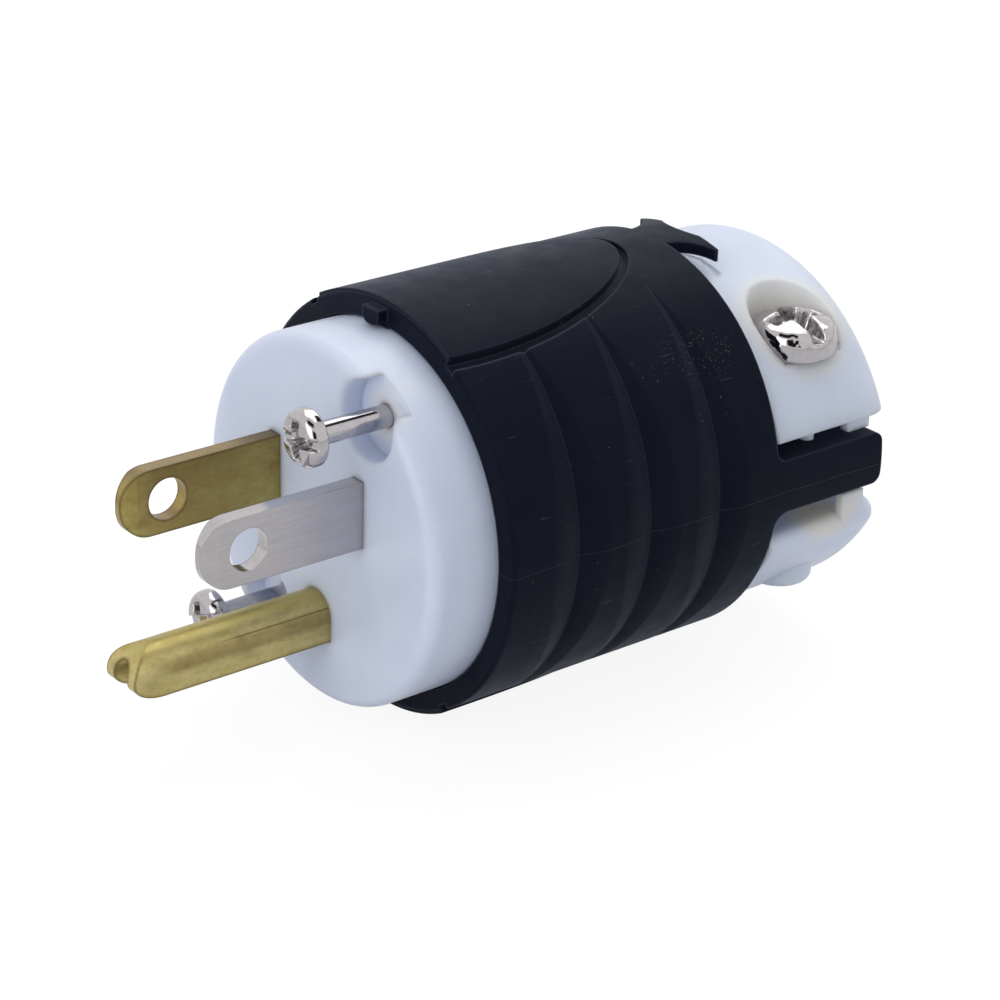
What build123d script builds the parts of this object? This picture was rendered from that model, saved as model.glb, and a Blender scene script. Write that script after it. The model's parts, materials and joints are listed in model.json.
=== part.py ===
from build123d import *
import os

os.makedirs("parts", exist_ok=True)

# Three-prong plug for 15 A at 125 V, in millimetres. The origin is on the body's axis at the front face,
# the blades point to -Y, the cord end is at +Y, the ground pin is below the blades and +Z is up.

# Blades, of the standard pattern
blade_spacing = 12.7
blade_width = 6.35
blade_thickness = 1.52
blade_length = 16.6
blade_tip_radius = 2.9
blade_tip_taper = 1.6
blade_tip_bevel = 0.4
blade_hole_diameter = 3.96
blade_hole_reach = 11.9
blade_rise = 3.34
blade_fit = 0.05

# Ground pin, folded from sheet into a U that opens downwards
ground_drop = 11.89
ground_width = 4.5
ground_sheet = 1.2
ground_fold_drop = 0.3
ground_leg = 2.2
ground_length = 20.6
ground_nose = 3.1
ground_nose_drop = 0.6

# Nylon front body
front_radius = 17.4
front_round = 1.2
front_reach = 6.9
seat_depth = 5.1
shoulder_depth = 1.2
shoulder_extra = 1.5
pocket_radius = 3.7
pocket_floor = 2.3
pocket_round = 0.5

# Black housing
body_fit = 0.15
housing_wall = 2.05
housing_length = 31.2
rim_round = 0.4
chamber_wall = 3.2
rear_lip = 1.5
flange_groove = 2.1
bulkhead = 2.0
cord_hole_radius = 8.6

# Key behind the rim and lug in front of it, at the top and the bottom of the housing
key_width = 2.3
key_depth = 0.9
key_length = 2.0
key_fit = 0.15
lug_reach = 1.1
lug_lift = 0.1
lug_height = 1.5
lug_round = 0.9

# Raised panel with a groove round it, at the top and the bottom of the housing
panel_half_width = 10.65
panel_half_length = 23.65
panel_widest = 3.4
panel_rise = 0.25
panel_setback = 0.25
panel_groove_width = 0.95
panel_groove_depth = 0.5

# Finger grips, three shallow valleys on each side that fade towards the top and the bottom
grip_count = 3
grip_pitch = 8.3
grip_first_valley = 7.9
grip_depth = 0.75
grip_fade = 1.25
grip_clear = 0.04

# Side arms and top and bottom tongues at the cord end
arm_length = 13.3
arm_top = 3.1
arm_bottom = 2.1
arm_depth = 4.0
arm_corner = 1.0
arm_root_top = 1.0
arm_root_bottom = 1.5
tongue_width = 10.8
tongue_length = 4.0
tongue_thickness = 1.1
tongue_stem = 4.8
tongue_flare_width = 6.4
tongue_flare_reach = 2.0
tongue_tip = 0.3
tongue_notch_width = 5.3
tongue_notch_depth = 0.7
tongue_gap = 0.15

# Cord clamp jaws
jaw_length = 14.9
jaw_clearance = 0.3
jaw_travel = 1.2
upper_arch_radius = 20.7
upper_arch_drop = 3.4
upper_edge_height = 4.7
upper_edge_round = 0.15
lower_arch_radius = 21.4
lower_arch_drop = 3.8
lower_edge_height = 4.8
lower_edge_round = 1.2
jaw_rear_round = 3.0
jaw_split = 0.6
jaw_side_fit = 0.4
foot_gap = 0.6
foot_depth = 3.6
foot_thickness = 1.0
foot_length = 2.7
foot_rear_inset = 3.2
foot_root = 2.4
gate_radius = 0.7
gate_depth = 0.8
gate_inset = 4.55
gate_offset = 2.6
cord_radius = 6.0
rib_height = 0.8
rib_width = 1.4
rib_spacing = 5.0
neck_radius = 12.4
flange_radius = 15.4
flange_half_width = 13.8

# Clamp screws and their threaded inserts
clamp_screw_x = 12.5
clamp_screw_inset = 7.2
clamp_head_radius = 3.9
clamp_head_height = 2.8
clamp_head_bevel = 1.1
clamp_seat_height = 10.4
clamp_shank_radius = 1.6
clamp_shank_end = 12.4
clamp_pocket_fit = 0.6
clamp_hole_fit = 0.3
clamp_boss_wall = 1.0
clamp_boss_end = 13.0
clamp_boss_round = 0.8
clamp_insert_radius = 2.3
clamp_insert_length = 5.0
clamp_thread_fit = 0.08

# Assembly screws, backed out of the front face, and their threaded inserts
upper_screw_x = 7.3
upper_screw_z = 12.3
lower_screw_x = -8.0
lower_screw_z = -11.0
screw_back_out = 7.75
screw_head_radius = 2.65
screw_head_height = 1.95
screw_head_bevel = 0.9
screw_shank_radius = 1.0
screw_shank_fit = 0.1
screw_thread_radius = 1.45
screw_thread_length = 8.0
screw_hole_fit = 0.2
screw_end_gap = 1.0
screw_insert_radius = 2.5
screw_insert_length = 6.0
screw_insert_gap = 2.0
screw_boss_wall = 1.7
screw_thread_fit = 0.08

# Drive recess of the screw heads
drive_slot = 1.0
drive_slot_depth = 0.55
drive_cross = 2.2
drive_cross_depth = 1.1

# Inner terminal block, wire clamps and terminal screws
block_fit = 0.2
block_length = 11.5
block_front_wall = 1.5
well_inset = 1.6
well_half_height = 5.6
ground_well_half_width = 4.6
ground_well_roof = 1.6
tail_reach = 9.2
terminal_reach = 5.2
wire_gap = 1.4
plate_thickness = 1.2
plate_size = 7.0
terminal_head_radius = 3.0
terminal_head_height = 2.4
terminal_head_bevel = 0.6
terminal_shank_radius = 1.6
terminal_fit = 0.06
terminal_end = 0.9
terminal_slot = 0.9
terminal_slot_depth = 1.0

# Places worked out from the sizes above
blade_x = blade_spacing / 2
ground_z = blade_rise - ground_drop - ground_fold_drop
ground_top = ground_z + ground_width / 2
front_back = front_reach + seat_depth
shoulder_front = front_back - shoulder_depth
tail_end = front_back + tail_reach
terminal_y = front_back + terminal_reach
block_back = front_back + block_length
bore_radius = front_radius + body_fit
housing_radius = bore_radius + housing_wall
chamber_radius = housing_radius - chamber_wall
block_radius = chamber_radius - block_fit
housing_back = front_reach + housing_length
lip_front = housing_back - rear_lip
groove_front = lip_front - flange_groove
bulkhead_front = groove_front - bulkhead
arm_end = housing_back + arm_length
arm_inner = housing_radius - arm_depth
tongue_end = housing_back + tongue_length
tongue_inner = housing_radius - tongue_thickness
lug_bottom = bore_radius + lug_lift
jaw_front = housing_back + jaw_clearance
jaw_rear = jaw_front + jaw_length
skirt_half_width = arm_inner - jaw_side_fit
lip_radius = neck_radius + jaw_travel + jaw_clearance
flange_room = flange_radius + jaw_travel + jaw_clearance
flange_front = groove_front + jaw_clearance
flange_back = lip_front - jaw_clearance
clamp_y = jaw_front + clamp_screw_inset
insert_front = block_back + screw_insert_gap
insert_back = insert_front + screw_insert_length
screw_head_seat = pocket_floor - screw_back_out
screw_end = insert_back - screw_end_gap - screw_back_out
core_radius = housing_radius / 2
far = 3 * housing_radius
over = housing_wall / 2


def block(x0, x1, y0, y1, z0, z1):
    return Pos((x0 + x1) / 2, (y0 + y1) / 2, (z0 + z1) / 2) * Box(x1 - x0, y1 - y0, z1 - z0)


def rod(radius, y0, y1, x=0, z=0):
    return Pos(x, (y0 + y1) / 2, z) * Rot(90, 0, 0) * Cylinder(radius, y1 - y0)


def post(radius, z0, z1, x, y):
    return Pos(x, y, (z0 + z1) / 2) * Cylinder(radius, z1 - z0)


def bar(radius, x0, x1, y, z):
    return Pos((x0 + x1) / 2, y, z) * Rot(0, 90, 0) * Cylinder(radius, x1 - x0)


def prism_along_x(section, x0, x1):
    return extrude(Plane.YZ.offset(x0) * section, x1 - x0)


def prism_along_y(section, y0, y1):
    return extrude(Plane.XZ.offset(-y1) * section, y1 - y0)


def upside_down(shape):
    return Rot(0, 180, 0) * shape


def blade_profile():
    """Side view of a blade: bullet tip, shoulders behind the face and a flat tail."""
    strip = Pos((tail_end - blade_length) / 2, blade_rise) * Rectangle(blade_length + tail_end, blade_width)
    strip = fillet(strip.vertices().sort_by(Axis.X)[:2], blade_tip_radius)
    shoulder = Rectangle(shoulder_depth, blade_width + 2 * shoulder_extra)
    return strip + Pos(front_back - shoulder_depth / 2, blade_rise) * shoulder


def tip_wedge():
    """What coining takes off one side of a blade's tip, so that the blade thins towards its end."""
    half = blade_thickness / 2
    start = blade_tip_taper - blade_length
    end = -blade_length - over
    inner = half - blade_tip_bevel * (start - end) / blade_tip_taper
    outline = Polyline((half, start), (inner, end), (half + over, end), (half + over, start), close=True)
    return extrude(Plane.XY.offset(-far) * make_face(outline), 2 * far)


def blade(x):
    """Blade with a coined tip, a locking hole and a hole for its terminal screw."""
    half = blade_thickness / 2
    solid = prism_along_x(blade_profile(), -half, half)
    solid -= tip_wedge()
    solid -= mirror(tip_wedge(), Plane.YZ)
    solid -= bar(blade_hole_diameter / 2, -far, far, -blade_hole_reach, blade_rise)
    solid -= bar(terminal_shank_radius + terminal_fit, -far, far, terminal_y, blade_rise)
    return Pos(x, 0, 0) * solid


def ground_section(grow):
    """Section of the folded sheet, with every face moved out by the given clearance."""
    outer = ground_width / 2 + grow
    inner = ground_width / 2 - ground_sheet - grow
    leg = ground_leg + grow
    sheet = Pos(0, ground_z) * Circle(outer) + Pos(0, ground_z - leg / 2) * Rectangle(2 * outer, leg)
    hollow = Pos(0, ground_z) * Circle(inner) + Pos(0, ground_z - leg) * Rectangle(2 * inner, 2 * leg)
    return sheet - hollow


def ground_pin():
    """Folded pin with a rounded nose, then one flat tail with shoulders for the terminal."""
    half_height = (ground_width / 2 + ground_leg) / 2
    middle = ground_top - half_height
    straight = ground_length - ground_nose
    view = Pos((front_back - straight) / 2, middle) * Rectangle(front_back + straight, 2 * half_height)
    for rise in (half_height + ground_nose_drop, ground_nose_drop - half_height):
        tall = abs(rise)
        rounding = Ellipse(ground_nose, tall) & Pos(0, rise / 2) * Rectangle(2 * ground_nose, tall)
        view += Pos(-straight, middle - ground_nose_drop) * rounding
    pin = prism_along_y(ground_section(0), -ground_length, front_back) & prism_along_x(view, -far, far)
    under = ground_top - ground_sheet
    half = ground_width / 2
    pin += block(-half, half, front_back - shoulder_depth, tail_end, under, ground_top)
    wide = half + shoulder_extra
    pin += block(-wide, wide, shoulder_front, front_back, under, ground_top)
    hole = post(terminal_shank_radius + terminal_fit, under - over, ground_top + over, 0, terminal_y)
    return pin - hole


def front_body():
    """Nylon front with slots for the pins, soft-edged screw pockets and two hidden keyways."""
    body = rod(front_radius, 0, front_back)
    rim = body.edges().filter_by(GeomType.CIRCLE).sort_by(Axis.Y)[0]
    body = fillet(rim, front_round)
    half_slot = blade_thickness / 2 + blade_fit
    half_width = blade_width / 2 + blade_fit
    for x in (-blade_x, blade_x):
        for start, tall in ((-over, half_width), (shoulder_front, half_width + shoulder_extra)):
            body -= block(x - half_slot, x + half_slot, start, far, blade_rise - tall, blade_rise + tall)
    body -= prism_along_y(ground_section(blade_fit), -over, far)
    wide = ground_width / 2 + shoulder_extra + blade_fit
    under = ground_top - ground_sheet
    body -= block(-wide, wide, shoulder_front, far, under - blade_fit, ground_top + blade_fit)
    for x, z in ((upper_screw_x, upper_screw_z), (lower_screw_x, lower_screw_z)):
        body -= rod(pocket_radius, -over, pocket_floor, x, z)
        body -= pocket_mouth(x, z)
        body -= rod(screw_shank_radius + screw_shank_fit, -over, far, x, z)
    keyway = prism_along_y(key_outline(key_fit), front_reach, front_back + over)
    body -= keyway
    return body - upside_down(keyway)


def pocket_mouth(x, z):
    """What the soft edge of a screw pocket takes off at the front face."""
    mouth = pocket_radius + pocket_round
    roll = Pos(x, pocket_round, z) * Rot(90, 0, 0) * Torus(mouth, pocket_round)
    return rod(mouth, -over, pocket_round, x, z) - roll


def key_outline(grow):
    """Front view of the upper key: a round-ended tooth that hangs from the housing's bore."""
    radius = key_width / 2 + grow
    centre = front_radius - key_depth + key_width / 2
    return Pos(0, centre) * Circle(radius) + Pos(0, centre + far / 2) * Rectangle(2 * radius, far)


def terminal_block():
    """Inner nylon block that backs the blades and keeps the three wires apart."""
    body = rod(block_radius, front_back, block_back)
    half_slot = blade_thickness / 2 + blade_fit
    half_width = blade_width / 2 + blade_fit
    well_front = front_back + block_front_wall
    inner = blade_x - blade_thickness / 2 - well_inset
    low = blade_rise - well_half_height
    high = blade_rise + well_half_height
    slot_low = blade_rise - half_width
    slot_high = blade_rise + half_width
    well = block(inner, far, well_front, far, low, high)
    well += block(blade_x - half_slot, blade_x + half_slot, front_back - over, far, slot_low, slot_high)
    body -= well
    body -= mirror(well, Plane.YZ)
    under = ground_top - ground_sheet - blade_fit
    half = ground_width / 2 + blade_fit
    body -= block(-half, half, front_back - over, far, under, ground_top + blade_fit)
    wide = ground_well_half_width
    body -= block(-wide, wide, well_front, far, -far, ground_top + ground_well_roof)
    for x, z in ((upper_screw_x, upper_screw_z), (lower_screw_x, lower_screw_z)):
        body -= rod(screw_thread_radius + screw_hole_fit, 0, far, x, z)
    return body


def wire_plate(x):
    """Wire clamp of a blade's terminal, between the screw head and the tail."""
    side = 1 if x > 0 else -1
    near = x + side * (blade_thickness / 2 + wire_gap)
    low, high = sorted((near, near + side * plate_thickness))
    half = plate_size / 2
    plate = block(low, high, terminal_y - half, terminal_y + half, blade_rise - half, blade_rise + half)
    return plate - bar(terminal_shank_radius + terminal_fit, low - over, high + over, terminal_y, blade_rise)


def terminal_screw():
    """Slotted terminal screw, head up, with the underside of its head at the origin."""
    reach = wire_gap + plate_thickness + blade_thickness + terminal_end
    screw = post(terminal_head_radius, 0, terminal_head_height, 0, 0)
    screw = chamfer(screw.edges().filter_by(GeomType.CIRCLE).sort_by(Axis.Z)[-1], terminal_head_bevel)
    screw += post(terminal_shank_radius, -reach, 0, 0, 0)
    half = terminal_slot / 2
    bottom = terminal_head_height - terminal_slot_depth
    return screw - block(-far, far, -half, half, bottom, far)


def blade_terminal_screw(x):
    side = 1 if x > 0 else -1
    seat = x + side * (blade_thickness / 2 + wire_gap + plate_thickness)
    return Pos(seat, terminal_y, blade_rise) * Rot(0, 90 * side, 0) * terminal_screw()


def ground_plate():
    top = ground_top - ground_sheet - wire_gap
    half = plate_size / 2
    plate = block(-half, half, terminal_y - half, terminal_y + half, top - plate_thickness, top)
    return plate - post(terminal_shank_radius + terminal_fit, top - far, top + over, 0, terminal_y)


def ground_terminal_screw():
    seat = ground_top - ground_sheet - wire_gap - plate_thickness
    return Pos(0, terminal_y, seat) * Rot(180, 0, 0) * terminal_screw()


def drive_recess(top):
    """Slot right across the head with a cross recess in its middle, cut down from the top."""
    half = drive_slot / 2
    cut = block(-far, far, -half, half, top - drive_slot_depth, far)
    cut += block(-drive_cross, drive_cross, -half, half, top - drive_cross_depth, far)
    return cut + block(-half, half, -drive_cross, drive_cross, top - drive_cross_depth, far)


def screw_head(radius, height, bevel):
    """Pan head with the underside at the origin."""
    head = post(radius, 0, height, 0, 0)
    head = chamfer(head.edges().filter_by(GeomType.CIRCLE).sort_by(Axis.Z)[-1], bevel)
    return head - drive_recess(height)


def assembly_screw(x, z):
    """Backed-out screw: head in front of the face, plain shank, thicker thread at its inner end."""
    length = screw_end - screw_head_seat
    screw = screw_head(screw_head_radius, screw_head_height, screw_head_bevel)
    screw += post(screw_shank_radius, screw_thread_length - length, 0, 0, 0)
    screw += post(screw_thread_radius, -length, screw_thread_length - length, 0, 0)
    return Pos(x, screw_head_seat, z) * Rot(90, 0, 0) * screw


def assembly_insert(x, z):
    sleeve = rod(screw_insert_radius, insert_front, insert_back, x, z)
    return sleeve - rod(screw_thread_radius + screw_thread_fit, insert_front - over, insert_back + over, x, z)


def panel_outline(inset):
    """Top view of the tongue-shaped panel, open towards the front rim."""
    centre = front_reach + panel_widest
    return Pos(0, centre) * Ellipse(panel_half_width - inset, panel_half_length - inset)


def grip_cutter():
    """Right side's valleys: convex pillows turned round an axis that lies off centre, so they fade out."""
    valley = housing_radius - grip_depth + grip_fade
    crest = housing_radius + grip_fade + grip_clear
    start = front_reach + grip_first_valley
    outline = []
    for index in range(grip_count):
        y = start + index * grip_pitch
        before = grip_arc_point(valley, crest, y, -1)
        after = grip_arc_point(valley, crest, y, 1)
        outline.append(ThreePointArc((crest, y - grip_pitch / 2), before, (valley, y)))
        outline.append(ThreePointArc((valley, y), after, (crest, y + grip_pitch / 2)))
    first = start - grip_pitch / 2
    last = first + grip_count * grip_pitch
    outer = crest + housing_radius
    outline.append(Polyline((crest, last), (outer, last), (outer, first), (crest, first)))
    ring = revolve(make_face(outline), Axis.Y)
    return Pos(-grip_fade, 0, 0) * ring & block(0, far, first - over, last + over, -far, far)


def grip_arc_point(valley, crest, y, side):
    """Point half way along a pillow's flank, on the circle that is level at its crest."""
    rise = crest - valley
    run = grip_pitch / 2
    radius = (run**2 + rise**2) / (2 * rise)
    offset = run / 2
    return (crest - radius + (radius**2 - offset**2) ** 0.5, y + side * offset)


def arm_view():
    """Side view of an arm: it flares into the rear rim and has round end corners."""
    root = lip_front
    view = Pos((root + housing_back) / 2, 0) * Rectangle(housing_back - root, 2 * core_radius)
    middle = (arm_top - arm_bottom) / 2
    view += Pos((root + arm_end) / 2, middle) * Rectangle(arm_end - root, arm_top + arm_bottom)
    for height, radius in ((-arm_bottom, arm_root_bottom), (arm_top, arm_root_top)):
        corner = view.vertices().sort_by_distance((housing_back, height))[0]
        view = fillet(corner, radius)
    return fillet(view.vertices().sort_by(Axis.X)[-2:], arm_corner)


def behind_the_rim():
    """What is cut off behind the rear rim: all but the side arms and the top and bottom tongues."""
    waste = rod(far, housing_back, arm_end + over)
    arm = prism_along_x(arm_view(), arm_inner, far)
    waste -= arm
    waste -= mirror(arm, Plane.YZ)
    tongues = extrude(Plane.XY.offset(-far) * tongue_outline(), 2 * far)
    return waste - (tongues - rod(tongue_inner, lip_front, far))


def tongue_outline():
    """Top view of a fishtail tongue: narrow stem, flared sides and a shallow notch in its end."""
    stem = tongue_stem / 2
    flare = tongue_flare_width / 2
    half = tongue_width / 2
    notch = tongue_notch_width / 2
    root = housing_back - over
    tip = tongue_end - tongue_tip
    bend = housing_back + tongue_flare_reach
    right = ThreePointArc((stem, housing_back), (flare, bend), (half, tip))
    end = ThreePointArc((notch, tongue_end), (0, tongue_end - tongue_notch_depth), (-notch, tongue_end))
    left = ThreePointArc((-half, tip), (-flare, bend), (-stem, housing_back))
    right_tip = Polyline((half, tip), (half, tongue_end), (notch, tongue_end))
    left_tip = Polyline((-notch, tongue_end), (-half, tongue_end), (-half, tip))
    foot = Polyline((-stem, housing_back), (-stem, root), (stem, root), (stem, housing_back))
    return make_face([right, right_tip, end, left_tip, left, foot])


def barrel():
    """Round bar with a soft front edge that the housing is cut from."""
    stock = rod(housing_radius, front_reach, arm_end)
    return fillet(stock.edges().filter_by(GeomType.CIRCLE).sort_by(Axis.Y)[0], rim_round)


def panel_tablet(inset):
    """Upright block of the panel's outline."""
    return extrude(Plane.XY.offset(core_radius) * panel_outline(inset), housing_radius)


def panel_recess():
    return panel_tablet(0) - rod(housing_radius - panel_groove_depth, -far, far)


def panel():
    """Raised panel, set back a little from the soft edge of the rim."""
    crown = rod(housing_radius + panel_rise, front_reach + panel_setback, arm_end)
    return panel_tablet(panel_groove_width) & (crown + barrel())


def rim_lug():
    """Upper lug that stands out of the front rim, just clear of the nylon."""
    outline = Pos(0, lug_bottom + lug_height / 2) * Rectangle(key_width, lug_height)
    outline = fillet(outline.vertices().sort_by(Axis.Y)[:2], lug_round)
    return prism_along_y(outline, front_reach - lug_reach, front_reach + key_length)


def housing():
    """Black moulded barrel with keyed rim, grips, panels, insert bosses, bulkhead, arms and tongues."""
    body = barrel() - behind_the_rim()
    body -= grip_cutter()
    body -= mirror(grip_cutter(), Plane.YZ)
    body -= panel_recess()
    body -= upside_down(panel_recess())
    body += panel()
    body += upside_down(panel())
    body -= rod(bore_radius, front_reach - over, front_back)
    body -= rod(chamber_radius, front_back - over, bulkhead_front)
    for x, z in ((upper_screw_x, upper_screw_z), (lower_screw_x, lower_screw_z)):
        boss = rod(screw_insert_radius + screw_boss_wall, insert_front, bulkhead_front + over, x, z)
        body += boss & rod(chamber_radius + over, insert_front, housing_back)
        body -= rod(screw_insert_radius, insert_front - over, insert_back, x, z)
    body -= rod(cord_hole_radius, bulkhead_front - over, groove_front + over)
    body -= rod(flange_room, groove_front, lip_front)
    body -= rod(lip_radius, lip_front - over, housing_back + over)
    key = prism_along_y(key_outline(0), front_reach, front_reach + key_length)
    key &= rod(bore_radius + over, 0, front_back)
    for shape in (key, rim_lug()):
        body += shape
        body += upside_down(shape)
    return body


def jaw_blank(arm_edge, arch_radius, arch_drop, edge_height, edge_round):
    """Jaw without its screw features: arched back, skirt, feet, neck, trapped flange and cord channel."""
    arch = rod(arch_radius, jaw_front, jaw_rear, z=-arch_drop)
    rear = arch.edges().filter_by(GeomType.CIRCLE).sort_by(Axis.Y)[-1]
    arch = fillet(rear, jaw_rear_round)
    skirt = skirt_half_width
    jaw = arch & block(-far, far, jaw_front, jaw_rear, edge_height, far)
    jaw = fillet(jaw.faces().sort_by(Axis.Z)[0].edges().filter_by(Axis.Y), edge_round)
    jaw += arch & block(-skirt, skirt, jaw_front, jaw_rear, jaw_split, edge_height + edge_round)
    foot_rear = jaw_rear - foot_rear_inset
    foot_outer = skirt + foot_depth
    foot_bottom = arm_edge + foot_gap
    foot_top = edge_height + foot_root
    foot_inner = foot_outer - foot_thickness
    foot = block(foot_inner, foot_outer, foot_rear - foot_length, foot_rear, foot_bottom, foot_top)
    foot &= arch
    jaw += foot
    jaw += mirror(foot, Plane.YZ)
    above = block(-far, far, 0, far, jaw_split, far)
    jaw += rod(neck_radius, flange_front, jaw_front) & above
    flange = rod(flange_radius, flange_front, flange_back) & above
    jaw += flange & block(-flange_half_width, flange_half_width, 0, far, 0, far)
    jaw -= rod(cord_radius, 0, far)
    middle = (jaw_front + jaw_rear) / 2
    for y in (middle - rib_spacing / 2, middle + rib_spacing / 2):
        rib = rod(cord_radius + rib_height, y - rib_width / 2, y + rib_width / 2)
        rib -= rod(cord_radius - rib_height, 0, far)
        jaw += rib & above
    relief = extrude(offset(tongue_outline(), jaw_clearance), far)
    return jaw - (relief - rod(tongue_inner - jaw_travel - tongue_gap, 0, far))


def clamp_jaw_upper():
    """Upper jaw with two pockets for the heads of the clamp screws."""
    jaw = jaw_blank(arm_top, upper_arch_radius, upper_arch_drop, upper_edge_height, upper_edge_round)
    for x in (-clamp_screw_x, clamp_screw_x):
        jaw -= post(clamp_head_radius + clamp_pocket_fit, clamp_seat_height, far, x, clamp_y)
        jaw -= post(clamp_shank_radius + clamp_hole_fit, 0, far, x, clamp_y)
    gate_x = skirt_half_width + gate_offset
    gate_top = upper_edge_height + gate_radius
    return jaw + post(gate_radius, upper_edge_height - gate_depth, gate_top, gate_x, jaw_front + gate_inset)


def clamp_jaw_lower():
    """Lower jaw, a little deeper than the upper one, with two bosses that hold the threaded inserts."""
    jaw = jaw_blank(arm_bottom, lower_arch_radius, lower_arch_drop, lower_edge_height, lower_edge_round)
    for x in (-clamp_screw_x, clamp_screw_x):
        boss = post(clamp_insert_radius + clamp_boss_wall, lower_edge_height, clamp_boss_end, x, clamp_y)
        jaw += fillet(boss.edges().filter_by(GeomType.CIRCLE).sort_by(Axis.Z)[-1], clamp_boss_round)
    for x in (-clamp_screw_x, clamp_screw_x):
        jaw -= post(clamp_shank_radius + clamp_hole_fit, 0, far, x, clamp_y)
        jaw -= post(clamp_insert_radius, clamp_boss_end - clamp_insert_length, far, x, clamp_y)
    return upside_down(jaw)


def clamp_screw(x):
    screw = screw_head(clamp_head_radius, clamp_head_height, clamp_head_bevel)
    screw += post(clamp_shank_radius, -clamp_seat_height - clamp_shank_end, 0, 0, 0)
    return Pos(x, clamp_y, clamp_seat_height) * screw


def clamp_insert(x):
    low = -clamp_boss_end
    high = clamp_insert_length - clamp_boss_end
    sleeve = post(clamp_insert_radius, low, high, x, clamp_y)
    return sleeve - post(clamp_shank_radius + clamp_thread_fit, low - over, high + over, x, clamp_y)


nodes = {
    "front_body": front_body(),
    "terminal_block": terminal_block(),
    "line_blade": blade(-blade_x),
    "neutral_blade": blade(blade_x),
    "ground_pin": ground_pin(),
    "line_wire_plate": wire_plate(-blade_x),
    "neutral_wire_plate": wire_plate(blade_x),
    "ground_wire_plate": ground_plate(),
    "line_terminal_screw": blade_terminal_screw(-blade_x),
    "neutral_terminal_screw": blade_terminal_screw(blade_x),
    "ground_terminal_screw": ground_terminal_screw(),
    "assembly_screw_upper": assembly_screw(upper_screw_x, upper_screw_z),
    "assembly_screw_lower": assembly_screw(lower_screw_x, lower_screw_z),
    "assembly_insert_upper": assembly_insert(upper_screw_x, upper_screw_z),
    "assembly_insert_lower": assembly_insert(lower_screw_x, lower_screw_z),
    "housing": housing(),
    "clamp_jaw_upper": clamp_jaw_upper(),
    "clamp_jaw_lower": clamp_jaw_lower(),
    "clamp_screw_right": clamp_screw(clamp_screw_x),
    "clamp_screw_left": clamp_screw(-clamp_screw_x),
    "clamp_insert_right": clamp_insert(clamp_screw_x),
    "clamp_insert_left": clamp_insert(-clamp_screw_x),
}
for name, shape in nodes.items():
    export_step(shape, f"parts/{name}.step")
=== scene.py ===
"""Looks of a three-prong plug with a nylon face, a black moulded housing and a cord clamp."""

import json
import math

import bmesh
import bpy
from mathutils import Matrix, Vector


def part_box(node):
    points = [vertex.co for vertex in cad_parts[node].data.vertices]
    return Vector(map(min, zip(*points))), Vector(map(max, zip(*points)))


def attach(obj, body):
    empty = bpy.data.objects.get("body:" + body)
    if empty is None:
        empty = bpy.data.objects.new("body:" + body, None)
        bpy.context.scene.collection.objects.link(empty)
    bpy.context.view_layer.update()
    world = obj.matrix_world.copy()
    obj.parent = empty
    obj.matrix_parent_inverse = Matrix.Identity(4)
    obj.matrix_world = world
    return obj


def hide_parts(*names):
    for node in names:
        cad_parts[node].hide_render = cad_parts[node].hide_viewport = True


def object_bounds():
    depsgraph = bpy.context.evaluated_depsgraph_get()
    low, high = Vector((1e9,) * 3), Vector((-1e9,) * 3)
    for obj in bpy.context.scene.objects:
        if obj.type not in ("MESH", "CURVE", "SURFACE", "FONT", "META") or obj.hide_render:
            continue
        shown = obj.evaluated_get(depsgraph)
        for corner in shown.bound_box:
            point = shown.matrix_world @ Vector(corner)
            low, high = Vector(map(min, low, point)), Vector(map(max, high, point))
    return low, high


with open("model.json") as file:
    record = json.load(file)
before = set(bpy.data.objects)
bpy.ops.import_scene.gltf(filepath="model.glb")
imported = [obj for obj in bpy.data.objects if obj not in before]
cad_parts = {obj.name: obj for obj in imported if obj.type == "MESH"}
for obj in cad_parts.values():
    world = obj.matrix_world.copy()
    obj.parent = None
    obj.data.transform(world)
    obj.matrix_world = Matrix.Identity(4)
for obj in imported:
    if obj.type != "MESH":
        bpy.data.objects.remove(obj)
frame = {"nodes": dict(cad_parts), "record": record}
cad_low, cad_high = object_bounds()

MM = 0.001

# Camera, fitted to the photograph: angles in degrees, lengths in millimetres, clipping in metres
CAMERA_AZIMUTH = 50.955
CAMERA_ELEVATION = 24.431
CAMERA_ROLL = 1.607
CAMERA_DISTANCE = 265.065
CAMERA_RIGHT = 16.432
CAMERA_UP = 1.990
CAMERA_LENS = 107.013
SENSOR_WIDTH = 36.0
CLIP_START = 0.01
CLIP_END = 20

# Studio, in metres and watts
AMBIENT_COLOUR = (0.95, 0.97, 1.0, 1)
AMBIENT_STRENGTH = 0.52
LAMPS = (
    {"name": "top_light", "place": (-0.10, 0.16, 0.38), "aim": (0, 0.02, 0),
     "size": 0.40, "power": 0.80, "colour": (1, 1, 1)},
    {"name": "front_light", "place": (0.10, -0.46, 0.19), "aim": (0, 0.01, 0),
     "size": 0.35, "power": 0.70, "colour": (0.97, 0.985, 1)},
)
CARD_SHADE = (0.02, 0.02, 0.025, 1)
CARDS = (
    {"name": "dark_card_over", "place": (0.14, -0.22, 0.46), "aim": (0, 0, 0),
     "width": 0.34, "height": 0.20},
    {"name": "dark_card_top", "place": (0.03, 0.20, 0.29), "aim": (0, 0, 0),
     "width": 0.15, "height": 0.12},
    {"name": "dark_card_camera", "place": (0.54, -0.40, 0.27), "aim": (0, 0.02, 0),
     "width": 0.34, "height": 0.34},
)

# Floor: its side in metres, its paper, and the matt share and glow that mirrors and the camera see
FLOOR_SIDE = 6.0
FLOOR_PAPER = (0.8, 0.8, 0.82, 1)
FLOOR_IN_MIRRORS = {"share": 0.62, "glow": 0.32}
FLOOR_IN_CAMERA = {"share": 0.16, "glow": 0.9}

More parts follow.
